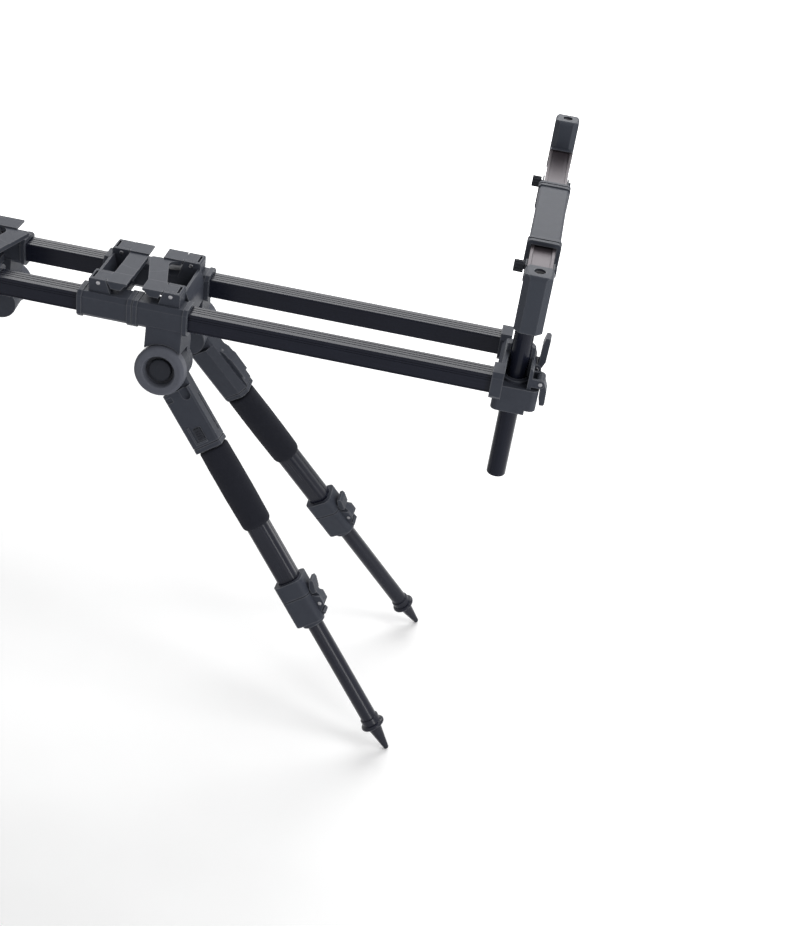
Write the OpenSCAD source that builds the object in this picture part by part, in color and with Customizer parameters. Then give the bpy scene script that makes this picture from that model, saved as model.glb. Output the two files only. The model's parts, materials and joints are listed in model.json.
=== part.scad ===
// Rod pod: two parallel rails on four plug-in legs, with a telescopic cross bar on a height post at each end.
// Millimetres, +Z up. The origin is on the ground, under the middle of the rail joiner.
// X runs along the rails and Y across them: near is -Y, far is +Y, right is +X and left is -X.
// Every leg piece is drawn along its own leg, which runs down -Z from the swing pivot, with the knob on -Y.

/* [Rails] */
// Side of a square rail
rail_w = 20; // [16:0.5:24]
// Wall of a rail
rail_wall = 2; // [1.4:0.1:3]
// Radius of a rail's long edges
rail_edge_r = 1.5; // [0.8:0.1:2.5]
// Distance between the axes of the two rails
rail_pitch = 78; // [74:1:100]
// Length of a rail half, from the middle of the joiner
rail_l = 400; // [360:1:520]
// Width of a groove along a rail
groove_w = 0.9; // [0.6:0.1:1.2]
// Depth of a groove along a rail
groove_d = 0.5; // [0.3:0.1:0.8]

/* [Clamp blocks] */
// Length of the joiner and of a leg block along the rails
block_l = 56; // [52:1:70]
// Wall of a sleeve round a rail
sleeve_wall = 3.4; // [2.6:0.1:5]
// Chamfer along a sleeve
sleeve_cut = 4.5; // [2:0.1:5]
// Width of the collar at each end of a sleeve
collar_w = 5; // [3:0.5:8]
// How far a collar stands proud of its sleeve
collar_h = 0.9; // [0.4:0.1:1.5]
// Gap between the joiner and a leg block pushed up against it
seam_gap = 0.6; // [0.4:0.1:2]
// How far the left leg block stands away from the joiner
left_block_slide = 84; // [0:1:84]
// Distance of the lever pin from the block's seam end
pin_from_seam = 36.5; // [36:0.5:38]
// Height of the lever pin above a sleeve
pin_above_sleeve = 10.2; // [9.4:0.1:11]

/* [Cam levers] */
// Diameter of every lever pin
pin_d = 4; // [3:0.5:5]
// Width of a lever head between its two lugs
head_w = 13; // [10:0.5:14]
// Thickness of a lug
lug_t = 3.5; // [2.5:0.5:4]
// Distance of a lever head's middle from the rail axis, inwards
head_in = 3.5; // [1:0.5:5]
// Height of a U lever's top above its pin
lever_top = 4.3; // [3.8:0.1:5]
// Thickness of the lever's plates
plate_t = 3; // [2.5:0.1:3.5]
// Length of a lever head from its pin
head_l = 29; // [26:0.5:29]
// Width of the web that joins the two heads
web_w = 19.5; // [14:0.5:19.5]
// How far the web of a leg block's lever leans towards the joiner at its far end
web_lean = 13.8; // [0:0.2:14]

/* [Leg pivots] */
// Drop of the swing pivot below the rail axis
pivot_drop = 56; // [52:1:66]
// Distance of the swing pivot outside the rail axis
pivot_out = 2; // [0:0.5:6]
// Distance of the pivot from the block's seam end
pivot_from_seam = 32.9; // [28:0.1:36]
// Swing of a standing leg from straight down, towards the rail's end
leg_swing = 36; // [20:0.5:45]
// Splay of the swing plane, outwards
leg_splay = 10; // [4:0.5:14]
// Diameter of the pivot discs
disc_d = 46; // [40:1:50]
// Thickness of the socket's disc
disc_t = 18; // [14:0.5:20]
// Thickness of an ear under the block
ear_t = 10.5; // [9:0.5:13]
// Width of the neck that carries an ear
neck_w = 37; // [28:1:38]
// Diameter of a knob
knob_d = 52; // [48:1:54]
// Height of a knob
knob_h = 16.5; // [14:0.5:22]
// Diameter of the recess in a knob
knob_recess_d = 32; // [26:1:36]
// Diameter of the boss in a knob's recess
knob_boss_d = 18; // [12:1:22]
// Diameter of the knob's bolt
bolt_d = 8; // [6:0.5:10]

/* [Legs] */
// Width of a leg tube in the swing plane
tube_w = 24; // [23:0.5:25]
// Thickness of a leg tube across the swing plane
tube_t = 22; // [21.5:0.5:24]
// Radius of a leg tube's long edges
tube_r = 7; // [4:0.5:9]
// Distance of the tube's top end from the pivot
spigot_from = 42; // [38:1:46]
// Distance of the socket's mouth from the pivot
socket_to = 97; // [90:1:105]
// Distance of the tube's bottom end from the pivot
tube_to = 305; // [290:1:330]
// Width of a socket arm
socket_w = 31; // [30:0.5:34]
// Thickness of a socket arm
socket_t = 27; // [26.5:0.5:29]
// Diameter of the foam grip
grip_d = 33; // [31:0.5:38]
// Length of the foam grip
grip_l = 97; // [80:1:130]
// Length of a leg clamp
clamp_l = 52; // [50:1:60]
// Width of a leg clamp in the swing plane
clamp_w = 33; // [31:0.5:36]
// Thickness of a leg clamp
clamp_t = 31; // [29:0.5:34]
// Diameter of the lower leg
lower_d = 18; // [16:0.5:18.5]
// Wall of the lower leg and of the post
round_wall = 1.5; // [1:0.1:2.5]
// Distance of the spike's tip ball from the pivot
leg_l = 497; // [470:1:520]
// Length of the lower leg that stays inside the tube
lower_inside = 96; // [60:1:110]
// Diameter of the flange above a spike
flange_d = 27; // [22:0.5:32]
// Thickness of the flange
flange_t = 5; // [3:0.5:7]
// Length of a spike below its flange
spike_l = 30; // [24:1:40]
// Diameter of a spike under its flange
spike_d = 16; // [12:0.5:18]
// Radius of the blunt tip
tip_r = 3; // [2:0.5:4]

/* [End blocks] */
// Diameter of a post
post_d = 20; // [18:0.5:21]
// Gap between a rail's end and the post's axis
post_gap = 12; // [12:0.5:16]
// Length of the end block's arms on the rails
arm_grip = 11; // [10:0.5:16]
// Length of the lower clamp box along the rails
box_w = 45; // [43:1:50]
// Width of the lower clamp box across the rails
box_d = 48; // [46:1:56]
// How far the middle of the box stands outside the post's axis
box_out = 3; // [0:0.5:4]
// Height of the lower clamp box
box_h = 29; // [26:1:36]
// Height of the cradle above the rail axis
cradle_h = 22; // [16:0.5:26]
// Diameter of the cradle behind the post
cradle_d = 29; // [27:0.5:31]
// Diameter of the ring on the box
ring_d = 31; // [30:0.5:40]
// Height of the ring
ring_h = 3; // [2:0.5:5]
// Length of the upper lever's handle
upper_handle_l = 35; // [28:1:42]
// Length of the lower lever's handle
lower_handle_l = 25; // [20:1:28]
// Width of an end lever
end_lever_w = 13; // [11:0.5:14]

/* [Cross bars] */
// Height of the cross bar's middle above the rail axis
bar_h = 154; // [130:1:180]
// How far a post reaches below the rail axis
post_below = 132; // [120:1:160]
// Width of an arm of the bar
arm_w = 22.4; // [20:0.2:24]
// Height of an arm of the bar
arm_h = 18.4; // [16:0.2:20]
// Wall of the bar's middle sleeve
bar_wall = 3; // [2.4:0.1:4]
// Half of the length of the middle sleeve
bar_half = 70; // [60:1:80]
// Length of the tongue that carries an arm outside the middle sleeve
tongue_l = 38; // [30:1:44]
// Distance of an arm's inner end from the post
arm_in = 40; // [36:1:44]
// Distance of an alarm hole from the post
hole_out = 182; // [160:1:210]
// Width and depth of an end cap
cap_w = 24.6; // [24:0.2:27]
// Height of an end cap above an arm's middle
cap_up = 39; // [30:1:50]
// Reach of an end cap below an arm's middle
cap_down = 14; // [11:0.5:18]
// Diameter of an alarm hole
hole_d = 9.5; // [8:0.1:11]
// Depth of an alarm hole
hole_deep = 25; // [15:1:30]
// Diameter of a thumb screw's head
thumb_d = 11; // [9:0.5:14]
// Length of a thumb screw's head
thumb_l = 9; // [7:0.5:12]
// Diameter of a thumb screw's shank
shank_d = 5; // [4:0.5:6]

/* [Fits] */
// Clearance on each side of pieces that slide or turn
slide_fit = 0.35; // [0.3:0.05:0.5]
// Clearance on each side of pieces that are fixed together
fixed_fit = 0.05; // [0.02:0.01:0.1]

/* [Hidden] */
$fn = 64;
eps = 0.01;
charcoal = "#4b4e54";
black = "#24262a";
satin = "#77757c";
steel = "#c3c6ca";
foam = "#2b2d31";

rail_y = rail_pitch / 2;
rail_bore = rail_w + 2 * slide_fit;
sleeve_w = rail_bore + 2 * sleeve_wall;
collar_side = sleeve_w + 2 * collar_h;
joiner_half = block_l / 2;
block_from = joiner_half + seam_gap;

head_y = rail_y - head_in;
pin_z = sleeve_w / 2 + pin_above_sleeve;
head_span = head_w + 2 * slide_fit + 2 * lug_t;
head_inner = head_y - head_span / 2;
cam_r = (pin_above_sleeve - 0.5 + lever_top) / 2;
cam_drop = cam_r - lever_top + 0.1;
lever_tail = 5.2;
rim_at = cam_r + slide_fit + 0.1;
lug_end = rim_at + 2.3;
lug_front = 7.6;
lug_foot = 14;
bridge_from = 22;
web_edge = head_inner + 1;
web_lip = 2.5;
web_fillet = 9;
crease_r = 35;
web_shift = min(web_lean, seam_gap + 2 * (pin_from_seam - head_l) - 1);

pivot_y = rail_y + pivot_out;
ear_y = disc_t / 2 + slide_fit;
tip_drop = leg_l * cos(leg_swing) * cos(leg_splay);
rail_z = pivot_drop + tip_drop + tip_r;
knob_y = disc_t / 2 + slide_fit;
thick_from = knob_d / 2 + 1.5;

grip_from = socket_to + 2;
clamp_to = tube_to + 14;
clamp_from = clamp_to - clamp_l;
lower_bore = lower_d + 2 * slide_fit;
lower_from = clamp_to - lower_inside - 14;
flange_to = leg_l - spike_l;
lever_at = tube_to - 2;
leg_pin_x = clamp_w / 2 + 3.6;
leg_cam_r = 4.4;
leg_head_w = 10.4;
leg_lug_t = 3;
thumb_tip_w = leg_head_w + 2 * leg_lug_t;

// The corners of a socket are cut as far as the wall round the tube allows
socket_wall = 1.2;
cut_room = (socket_w + socket_t - tube_w - tube_t) / 2 - 2 * slide_fit + 0.58 * tube_r - 1.42 * socket_wall;
front_cut = max(1, min(7, cut_room));
back_cut = max(1, min(5, cut_room));

button_at = socket_to - 19;
button_w = 7.4;
button_l = 13;
button_proud = 1.9;
button_t = 3.2;
panel_d = 0.9;
panel_w = 13;

post_x = rail_l + post_gap;
post_bore = post_d + 2 * slide_fit;
box_top = -sleeve_w / 2;
box_bottom = box_top - box_h;
end_lug_t = 2.5;
end_cam_r = 4.6;
lever_wall = post_bore / 2 + 2.4;
upper_pin = [19, 12, -3];
lower_pin_in = 0.3;
lower_pin = [box_out + box_w / 2 - lower_pin_in, -12, -6];
lug_reach = end_lever_w / 2 + slide_fit + end_lug_t;

bar_w = arm_w + 2 * slide_fit + 2 * bar_wall;
bar_t = arm_h + 2 * slide_fit + 2 * bar_wall;
lip_h = 1.2;
lip_w = 4;
lip_gap = 2.2;
boss_d = post_d + 8;
boss_h = 20;
post_top = bar_h - bar_t / 2 - 3;
tongue_to = bar_half + tongue_l;
tongue_wall = 1.6;
cheek_l = 12;
tongue_w = arm_w + 2 * slide_fit + 2 * tongue_wall;
tongue_top = arm_h / 2 - 4;
thumb_y = tongue_to - 10;
cap_h = cap_up + cap_down;
cap_cut = 5.5;
cap_round = 3.5;
cap_collar_l = 5;
cap_collar_h = 1;

// Placing

module flip(axis, on) {
    if (on) mirror(axis) children();
    else children();
}

// The right half as drawn, or mirrored to the left
module half(side) {
    translate([0, 0, rail_z])
        flip([1, 0, 0], side == "left")
            children();
}

// A leg block's own place on its rails, with the seam end at X = 0
module on_block(side) {
    half(side)
        translate([block_from + (side == "left" ? left_block_slide : 0), 0, 0])
            children();
}

// A pivot's frame: the knob is on -Y and the neck goes up
module at_pivot(row, side) {
    on_block(side)
        flip([0, 1, 0], row == "far")
            translate([pivot_from_seam, -pivot_y, -pivot_drop])
                rotate([-leg_splay, 0, 0])
                    children();
}

// A leg's frame: the leg runs down -Z
module on_leg(row, side) {
    at_pivot(row, side)
        rotate([0, -leg_swing, 0])
            children();
}

// An end's frame: the post's axis is X = Y = 0, at the height of the rail axis
module at_end(side) {
    half(side)
        translate([post_x, 0, 0])
            children();
}

module on_bar(row, side) {
    at_end(side)
        translate([0, 0, bar_h])
            flip([0, 1, 0], row == "far")
                children();
}

// Profiles and small shapes

module rounded_rect(w, d, r) {
    square([w - 2 * r, d], center = true);
    square([w, d - 2 * r], center = true);
    for (x = [-1, 1], y = [-1, 1])
        translate([x * (w / 2 - r), y * (d / 2 - r)])
            circle(r);
}

module chamfered_rect(w, d, c) {
    polygon([
        [-w / 2 + c, -d / 2], [w / 2 - c, -d / 2], [w / 2, -d / 2 + c], [w / 2, d / 2 - c],
        [w / 2 - c, d / 2], [-w / 2 + c, d / 2], [-w / 2, d / 2 - c], [-w / 2, -d / 2 + c]
    ]);
}

// A profile in the YZ plane, drawn out along +X
module along_x(l) {
    rotate([90, 0, 90])
        linear_extrude(l)
            children();
}

// A profile in the XZ plane, drawn out along Y, half to each side
module along_y(l) {
    rotate([90, 0, 0])
        linear_extrude(l, center = true)
            children();
}

// A profile across a leg, drawn out between two distances from its pivot
module down_leg(from, to) {
    translate([0, 0, -to])
        linear_extrude(to - from)
            children();
}

// A round bar along Y, half to each side
module rod_y(d, l) {
    rotate([90, 0, 0])
        cylinder(d = d, h = l, center = true);
}

// Rails

module rail_profile(row) {
    outer = row == "near" ? -1 : 1;
    difference() {
        rounded_rect(rail_w, rail_w, rail_edge_r);
        rounded_rect(rail_w - 2 * rail_wall, rail_w - 2 * rail_wall, rail_edge_r / 2);
        for (z = [rail_w / 2 - 3, rail_w / 2 - 5.4, -rail_w / 2 + 2.6])
            translate([outer * rail_w / 2, z])
                square([2 * groove_d, groove_w], center = true);
        for (y = [3, -1, -5])
            translate([outer * y, rail_w / 2])
                square([groove_w, 2 * groove_d], center = true);
    }
}

module rail(row, side) {
    color(black)
        half(side)
            translate([seam_gap / 2, row == "near" ? -rail_y : rail_y, 0])
                along_x(rail_l - seam_gap / 2)
                    rail_profile(row);
}

// Joiner and leg blocks, drawn with the seam end at X = 0

module sleeve(l) {
    along_x(l)
        chamfered_rect(sleeve_w, sleeve_w, sleeve_cut);
    for (x = [0, l - collar_w])
        translate([x, 0, 0])
            along_x(collar_w)
                chamfered_rect(collar_side, collar_side, sleeve_cut);
}

module rail_bores(l, side) {
    for (y = [-rail_y, rail_y])
        translate([-eps, y, 0])
            along_x(l + 2 * eps)
                rounded_rect(side, side, rail_edge_r);
}

// The housing of one lever head, drawn about its pin: two lugs, and a rim behind the cam
module lever_housing() {
    base = -(pin_above_sleeve + sleeve_cut + 0.5);
    floor_z = -pin_above_sleeve - 1;
    difference() {
        along_y(head_span)
            polygon([
                [-lug_foot, base], [-lug_front, lever_top], [lug_end - 1.2, lever_top],
                [lug_end, lever_top - 1.2], [lug_end, base]
            ]);
        along_y(head_w + 2 * slide_fit)
            polygon([
                [-lug_foot - 1, floor_z], [rim_at, floor_z],
                [rim_at, lever_top + 1], [-lug_foot - 1, lever_top + 1]
            ]);
    }
}

module lever_housings() {
    for (row = [-1, 1])
        translate([pin_from_seam, row * head_y, pin_z])
            lever_housing();
}

module lever_pins() {
    for (row = [-1, 1])
        translate([pin_from_seam, row * head_y, pin_z])
            rod_y(pin_d, head_span + 1);
}

// The floor between the two sleeves, open next to the seam, with a wall that leans up behind the lever
module bridge() {
    low = 2 - sleeve_w / 2;
    floor_t = 8;
    wall_at = pin_from_seam + lug_end;
    along_y(rail_pitch - sleeve_w + 2)
        polygon([
            [bridge_from, low], [block_l - collar_w, low], [block_l - collar_w, 9],
            [wall_at, pin_z - 2], [wall_at - 2.6, pin_z - 2], [wall_at - 7, low + floor_t],
            [bridge_from, low + floor_t]
        ]);
}

module clamp_block() {
    difference() {
        union() {
            for (y = [-rail_y, rail_y])
                translate([0, y, 0])
                    sleeve(block_l);
            bridge();
            lever_housings();
        }
        rail_bores(block_l, rail_bore);
    }
    lever_pins();
}

// One head of a U lever, drawn about its pin. The cam and the tongue run between the lugs; the plate widens
// in front of them. The row tells which side gets the deep wall.
module lever_head(row) {
    under = lever_top - plate_t;
    wide_to = -lug_front - 0.6;
    side_y = (head_span - lug_t) / 2;
    difference() {
        union() {
            along_y(head_w) {
                translate([0, -cam_drop])
                    circle(cam_r);
                polygon([
                    [-head_l, lever_top], [lever_tail, lever_top], [lever_tail, under], [0, -cam_drop],
                    [-cam_r + 0.5, -cam_drop], [4 - head_l, under], [-head_l, under + 1]
                ]);
            }
            along_y(head_span)
                polygon([
                    [-head_l, lever_top], [wide_to, lever_top], [wide_to - 1.3, under],
                    [1.4 - head_l, under], [-head_l, under + 1]
                ]);
            translate([0, row * side_y, 0])
                along_y(lug_t)
                    polygon([
                        [wide_to - 1.4, under + 1], [wide_to - 4.4, -4],
                        [6.5 - head_l, -4], [1.4 - head_l, under + 1]
                    ]);
            translate([0, -row * side_y, 0])
                along_y(lug_t)
                    polygon([
                        [wide_to - 1.4, under + 1], [wide_to - 2.8, -2.3],
                        [4 - head_l, -2.3], [1.4 - head_l, under + 1]
                    ]);
        }
        rod_y(pin_d + 2 * slide_fit, head_w + 1);
    }
}

// The outline of the web from above, with a round inner corner at the far head
module web_outline(lean) {
    clear = -lug_front - 1.9;
    to = min(web_w - head_l, clear);
    turn = atan2(2 * web_edge, lean);
    corner = to - lean * (head_inner + web_edge) / (2 * web_edge);
    tangent = min(web_fillet / tan(turn / 2), clear - corner);
    r = tangent * tan(turn / 2);
    polygon([
        [-head_l, -web_edge], [to, -web_edge], [to - lean, web_edge],
        [3 - head_l - lean, web_edge], [-head_l - lean, web_edge - 3]
    ]);
    if (r > 1)
        translate([corner, head_inner])
            difference() {
                polygon([
                    [-1, 0.5], [tangent, 0.5], [tangent, 0],
                    [tangent * cos(turn), -tangent * sin(turn)],
                    [tangent * cos(turn) - 1, -tangent * sin(turn)]
                ]);
                translate([tangent, -r])
                    circle(r);
            }
}

// The web that the fingers lift, with a lip along its front edge and a step that curves across it
module lever_web(lean) {
    top = lever_top - 1;
    difference() {
        translate([0, 0, top - plate_t])
            linear_extrude(plate_t)
                web_outline(lean);
        translate([-head_l - lean, web_edge, top - 0.5])
            cylinder(r = crease_r, h = 1);
    }
    translate([0, 0, lever_top - 6])
        linear_extrude(6 - plate_t)
            polygon([
                [-head_l, -web_edge], [web_lip - head_l, -web_edge],
                [web_lip - head_l - lean, web_edge - 3], [-head_l - lean, web_edge - 3]
            ]);
}

// One cam lever bridges both rails: two heads on the pins, and the web between them
module block_lever(lean) {
    translate([pin_from_seam, 0, pin_z]) {
        for (row = [-1, 1])
            translate([0, row * head_y, 0])
                lever_head(row);
        lever_web(lean);
    }
}

// A place in the block's frame, seen from a near pivot and turned by the splay
function tilted(y, z) = [y * cos(leg_splay) - z * sin(leg_splay), y * sin(leg_splay) + z * cos(leg_splay)];

// A neck comes down from the sleeve to the ear that holds the knob's bolt. It arches over the knob and the
// socket's disc, so that both can turn under it.
module ear() {
    above = pivot_drop - sleeve_w / 2;
    outside = tilted(pivot_out + 1 - sleeve_w / 2, above + 6);
    inside = tilted(pivot_out + 0.6 + sleeve_w / 2, above + 4.7);
    arch_r = knob_d / 2 + 1;
    low = sqrt(arch_r * arch_r - neck_w * neck_w / 4) + 1;
    difference() {
        union() {
            translate([-neck_w / 2, 0, 0])
                along_x(neck_w)
                    polygon([
                        outside, [outside[0], low], [ear_y, low], [ear_y, 0], [ear_y + ear_t, 0],
                        [ear_y + ear_t, disc_d / 2 + 1], inside
                    ]);
            translate([0, ear_y + ear_t / 2, 0])
                rod_y(disc_d, ear_t);
        }
        translate([0, ear_y - knob_d, 0])
            rod_y(2 * arch_r, 2 * knob_d);
        rod_y(bolt_d + 2 * slide_fit, 4 * knob_d);
    }
}

module ears() {
    for (row = ["near", "far"])
        flip([0, 1, 0], row == "far")
            translate([pivot_from_seam, -pivot_y, -pivot_drop])
                rotate([-leg_splay, 0, 0])
                    ear();
}

module leg_block(side) {
    color(charcoal)
        on_block(side) {
            clamp_block();
            difference() {
                ears();
                rail_bores(block_l, rail_bore);
            }
        }
}

// Legs

// The section of a socket's arm: nearly square on the knob's side, cut off on the side towards the other leg
module socket_section(inset) {
    x = socket_w / 2 - inset;
    y = socket_t / 2 - inset;
    edge = 1.6;
    polygon([
        [edge - x, -y], [x - edge, -y], [x, edge - y], [x, y - front_cut], [x - front_cut, y],
        [back_cut - x, y], [-x, y - back_cut], [-x, edge - y]
    ]);
}

// The round corner between the disc and the back of the arm, drawn in the swing plane
module disc_fillet(r) {
    x = -socket_w / 2;
    out = disc_d / 2 + r;
    z = -sqrt(out * out - (x - r) * (x - r));
    touch = disc_d / 2 / out;
    difference() {
        polygon([[x + 2, z], [x, z], [(x - r) * touch, z * touch], [x + 2, z * touch + 2]]);
        translate([x - r, z])
            circle(r);
    }
}

// The arm starts as thin as its disc, so that it clears the knob and the ear, and thickens below them
module leg_socket(catch) {
    mouth = -socket_to;
    front = socket_w / 2;
    color(charcoal)
        difference() {
            union() {
                rod_y(disc_d, disc_t);
                along_y(disc_t)
                    disc_fillet(14);
                down_leg(4, thick_from + 1)
                    rounded_rect(socket_w, disc_t, 3);
                down_leg(thick_from, socket_to)
                    socket_section(0);
                // the catch housing that stands proud of the front on two of the four sockets
                if (catch)
                    translate([0, -4, 0])
                        along_y(15)
                            polygon([
                                [front - 1, mouth + 4], [front + 1.4, mouth + 7], [front + 1.8, mouth + 17],
                                [front + 4.4, mouth + 18.4], [front + 4.8, mouth + 42],
                                [front + 3.4, mouth + 45], [front + 3, mouth + 52], [front - 1, mouth + 60]
                            ]);
                // the raised corner round the button
                translate([-socket_w / 2 + 6, -socket_t / 2 - 0.8, -button_at - button_l / 2 - 4])
                    cube([2.4, 2, button_l + 8]);
                translate([-socket_w / 2 + 6, -socket_t / 2 - 0.8, -button_at - button_l / 2 - 4])
                    cube([button_w + 7, 2, 2.4]);
            }
            down_leg(spigot_from - 1, socket_to + 1)
                rounded_rect(tube_w + 2 * slide_fit, tube_t + 2 * slide_fit, tube_r);
            rod_y(bolt_d + 2 * slide_fit, disc_t + 2);
            translate([0, -socket_t / 2, -button_at])
                cube([button_w + 2 * slide_fit, socket_t - tube_t, button_l + 2 * slide_fit], center = true);
            // the line round the lip of the mouth
            difference() {
                down_leg(socket_to - 6, socket_to - 5)
                    square(2 * socket_w, center = true);
                down_leg(socket_to - 7, socket_to - 4)
                    socket_section(0.7);
            }
            // a scoop that runs down the outer face from the knob
            translate([8.5, -socket_t / 2 - 1.5, -thick_from - 8]) {
                cylinder(r = 5, h = 20);
                sphere(r = 5);
            }
            // a step where the arm leaves the disc
            translate([-socket_w / 2 - 1, -socket_t / 2 - 1, -thick_from - 9])
                cube([9, 2, 5]);
            // a shallow channel along the front
            translate([socket_w / 2, 0, -(thick_from + socket_to) / 2])
                cube([1.4, 3, socket_to - thick_from - 26], center = true);
        }
}

module pivot_knob() {
    low = knob_y;
    top = knob_y + knob_h;
    r = knob_d / 2;
    round_r = 4.5;
    floor_z = top - 9;
    color(charcoal)
        rotate([90, 0, 0]) {
            rotate_extrude() {
                polygon([
                    [0, low], [r - 2, low], [r, low + 2.5], [r, top - round_r], [r - round_r, top],
                    [knob_recess_d / 2 + 1.2, top], [knob_recess_d / 2, top - 1.6],
                    [knob_recess_d / 2 - 1, floor_z], [knob_boss_d / 2, floor_z],
                    [knob_boss_d / 2 - 1, floor_z + 3.4], [knob_boss_d / 2 - 3, floor_z + 4.4],
                    [0, floor_z + 4.8]
                ]);
                translate([r - round_r, top - round_r])
                    circle(round_r);
            }
            translate([0, 0, -ear_y - ear_t])
                cylinder(d = bolt_d, h = low + ear_y + ear_t + 1);
        }
}

module release_button() {
    color(black)
        translate([0, -socket_t / 2 - button_proud + button_t / 2, -button_at])
            difference() {
                cube([button_w, button_t, button_l], center = true);
                for (z = [-4, -1.5, 1, 3.5])
                    translate([0, -button_t / 2, z])
                        cube([button_w + 1, 0.8, 0.8], center = true);
            }
}

// The tube's top end plugs into the socket; a sunk panel with a round start runs from there to the button
module leg_tube() {
    panel_from = spigot_from + 8 + panel_w / 2;
    color(black)
        difference() {
            down_leg(spigot_from, tube_to)
                rounded_rect(tube_w, tube_t, tube_r);
            down_leg(spigot_from - 1, tube_to + 1)
                circle(d = lower_bore);
            translate([-panel_w / 2, -tube_t / 2 - 1, -socket_to - 1])
                cube([panel_w, 1 + panel_d, socket_to + 1 - panel_from]);
            translate([0, -tube_t / 2, -panel_from])
                rod_y(panel_w, 2 * panel_d);
            for (x = [-1, 1])
                translate([x * tube_w / 2, 0, -(grip_from + tube_to) / 2])
                    cube([2 * groove_d, groove_w, tube_to - grip_from + 2], center = true);
        }
}

module foam_grip() {
    color(foam)
        difference() {
            translate([0, 0, -grip_from - grip_l])
                cylinder(d = grip_d, h = grip_l);
            down_leg(grip_from - 1, grip_from + grip_l + 1)
                rounded_rect(tube_w + 2 * fixed_fit, tube_t + 2 * fixed_fit, tube_r);
        }
}

// The collar that the lever tightens, with two cheeks for the lever's pin and a tab under it
module leg_clamp() {
    face = clamp_w / 2;
    cheek_x = leg_pin_x + leg_cam_r;
    split_at = clamp_from + 19;
    color(charcoal) {
        difference() {
            union() {
                down_leg(clamp_from, clamp_to)
                    rounded_rect(clamp_w, clamp_t, 7);
                down_leg(clamp_to - 1, clamp_to + 5)
                    circle(d = lower_d + 8);
                translate([0, 0, -lever_at]) {
                    for (y = [-1, 1])
                        translate([0, y * (leg_head_w / 2 + slide_fit + leg_lug_t / 2), 0])
                            along_y(leg_lug_t)
                                polygon([
                                    [face - 3, 11.5], [face + 1, 11.5], [cheek_x, 7],
                                    [cheek_x, -3], [face + 1.5, -9], [face - 3, -9]
                                ]);
                    along_y(leg_head_w + leg_lug_t)
                        polygon([
                            [face - 2, -9.8], [face + 2.6, -10.4], [face + 3.4, -14], [face - 2, -14.8]
                        ]);
                }
            }
            down_leg(clamp_from - 1, tube_to + fixed_fit)
                rounded_rect(tube_w + 2 * fixed_fit, tube_t + 2 * fixed_fit, tube_r);
            down_leg(clamp_from, clamp_to + 6)
                circle(d = lower_bore);
            translate([leg_pin_x, 0, -lever_at])
                rod_y(2 * leg_cam_r + 2 * slide_fit, leg_head_w + 2 * slide_fit);
            // the line between the fixed end and the end that closes
            difference() {
                down_leg(split_at, split_at + 1.2)
                    square(3 * clamp_w, center = true);
                down_leg(split_at - 1, split_at + 2)
                    rounded_rect(clamp_w - 1.6, clamp_t - 1.6, 6.2);
            }
            // the slit that lets the clamp close
            translate([-clamp_w / 2 - 1, -0.6, -clamp_to - 6])
                cube([clamp_w / 2 - lower_bore / 2 + 2, 1.2, 26]);
        }
        translate([leg_pin_x, 0, -lever_at])
            rod_y(pin_d, leg_head_w + 2 * slide_fit + 2 * leg_lug_t + 1);
    }
}

// The lever lies between the cheeks and widens above them to a ribbed tip for the thumb
module clamp_lever() {
    tip = clamp_l - 24;
    inner = clamp_w / 2 + 1.2;
    outer = leg_pin_x + leg_cam_r - 0.3;
    color(charcoal)
        translate([0, 0, -lever_at])
            difference() {
                union() {
                    translate([leg_pin_x, 0, 0])
                        rod_y(2 * leg_cam_r, leg_head_w);
                    along_y(leg_head_w)
                        polygon([
                            [leg_pin_x, 0], [outer, 0], [outer, 6], [outer - 1.6, tip - 15],
                            [outer - 1.6, tip - 12], [inner, tip - 12], [inner, 3.4]
                        ]);
                    along_y(thumb_tip_w)
                        polygon([
                            [inner, tip - 15], [outer - 1.4, tip - 15], [outer + 1.6, tip - 4],
                            [outer + 1, tip], [outer - 2.6, tip], [inner, tip - 8]
                        ]);
                }
                translate([leg_pin_x, 0, 0])
                    rod_y(pin_d + 2 * slide_fit, leg_head_w + 1);
                for (i = [0 : 3])
                    translate([outer - 1.1 + 0.76 * i, 0, tip - 13.6 + 2.8 * i])
                        rod_y(1.2, thumb_tip_w + 2);
            }
}

module lower_leg() {
    color(black) {
        difference() {
            down_leg(lower_from, flange_to)
                circle(d = lower_d);
            down_leg(lower_from - 1, flange_to - 20)
                circle(d = lower_d - 2 * round_wall);
        }
        down_leg(flange_to - 12, flange_to)
            circle(d = lower_d + 3);
        translate([0, 0, -flange_to])
            rotate_extrude() {
                square([(flange_d - flange_t) / 2, flange_t]);
                translate([(flange_d - flange_t) / 2, flange_t / 2])
                    circle(d = flange_t);
            }
        translate([0, 0, -leg_l])
            cylinder(r1 = tip_r, d2 = spike_d, h = spike_l + 0.5);
        translate([0, 0, -leg_l])
            sphere(r = tip_r);
    }
}

// End blocks

// Two lugs and a pin for an end lever, drawn about the pin
module end_lugs(pin) {
    translate(pin) {
        for (s = [-1, 1])
            translate([0, s * (lug_reach - end_lug_t / 2), 0])
                along_y(end_lug_t) {
                    circle(end_cam_r);
                    translate([lever_wall + 1 - pin[0], -end_cam_r])
                        square([pin[0] - lever_wall - 1, 2 * end_cam_r]);
                }
        rod_y(pin_d, 2 * lug_reach + 1);
    }
}

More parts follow.
